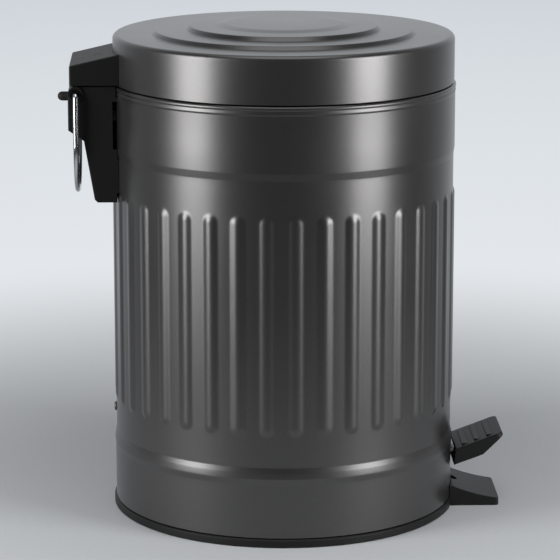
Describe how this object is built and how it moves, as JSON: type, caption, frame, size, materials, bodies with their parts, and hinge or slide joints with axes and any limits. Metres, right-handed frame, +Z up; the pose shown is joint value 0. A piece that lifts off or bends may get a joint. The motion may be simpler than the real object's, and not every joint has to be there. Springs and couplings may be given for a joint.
{
  "type": "pedal trash can",
  "caption": "Round pedal trash can of dark grey painted steel with upright beads, flush hinged lid, rear hinge housing with wire carry handle, foot pedal and lift-out bucket.",
  "frame": {"origin": "centre of the round base, on the floor", "axes": "+Z up; the pedal and the toe face -Y; the lid hinge and the carry handle are at +Y; X runs across, along the hinge line"},
  "size_m": [0.2036, 0.2632, 0.2886],
  "materials": {
    "body_paint": "satin dark grey metallic paint",
    "black_plastic": "fine moulded grain, black",
    "guide_plastic": "natural nylon",
    "stop_rubber": "matt black rubber",
    "handle_chrome": "bright chrome plate",
    "bare_steel": "zinc plated",
    "bucket_plastic": "satin moulded, black"
  },
  "bodies": {
    "can": {"shell": "body_paint", "bottom_plate": "bare_steel", "base_ring": "black_plastic", "base_ring_screws": "bare_steel", "front_foot": "black_plastic", "front_foot_screws": "bare_steel", "lever_bracket": "bare_steel", "lever_bracket_rivets": "bare_steel", "lever_pin": "bare_steel", "lever_pin_clips": "bare_steel", "hinge_bracket": "black_plastic", "bracket_backing_plate": "bare_steel", "bracket_screws": "bare_steel", "hinge_pin": "bare_steel", "lid_stop_bumper": "stop_rubber", "rod_guides": "guide_plastic", "guide_rivets": "bare_steel"},
    "lid": {"lid_cover": "body_paint", "lid_arm": "black_plastic", "lid_backing_plate": "bare_steel", "lid_screws": "bare_steel"},
    "handle": {"carry_handle": "handle_chrome"},
    "rod": {"push_rod": "bare_steel", "rod_end_clip": "bare_steel"},
    "pedal": {"pedal_lever": "bare_steel", "pedal_cap": "black_plastic", "pedal_cap_screws": "bare_steel"},
    "bucket": {"bucket": "bucket_plastic"},
    "bucket_handle": {"bucket_bail": "bare_steel", "bucket_grip": "bucket_plastic"}
  },
  "joints": [
    {"name": "lid_hinge", "type": "hinge", "parent": "can", "child": "lid", "pos_m": [0, 0.121, 0.251], "axis": [-1, 0, 0], "range_deg": [0, 74]},
    {"name": "rod_lift", "type": "slide", "parent": "can", "child": "rod", "axis": [0, 0, 1], "range_m": [0, 0.01163]},
    {"name": "pedal_press", "type": "hinge", "parent": "can", "child": "pedal", "pos_m": [0, -0.016, 0.021], "axis": [1, 0, 0], "range_deg": [0, 6.06]},
    {"name": "handle_swing", "type": "hinge", "parent": "can", "child": "handle", "pos_m": [0, 0.121, 0.251], "axis": [1, 0, 0], "range_deg": [-5, 120]},
    {"name": "bucket_lift", "type": "slide", "parent": "can", "child": "bucket", "axis": [0, 0, 1], "range_m": [0, 0.006]},
    {"name": "bucket_handle_swing", "type": "hinge", "parent": "bucket", "child": "bucket_handle", "pos_m": [0, 0, 0.2605], "axis": [-1, 0, 0], "range_deg": [0, 6]}
  ],
  "couplings": [
    {"joint": "rod_lift", "follows": "lid_hinge", "m_per_rad": 0.009},
    {"joint": "pedal_press", "follows": "lid_hinge", "ratio": 0.081856}
  ]
}
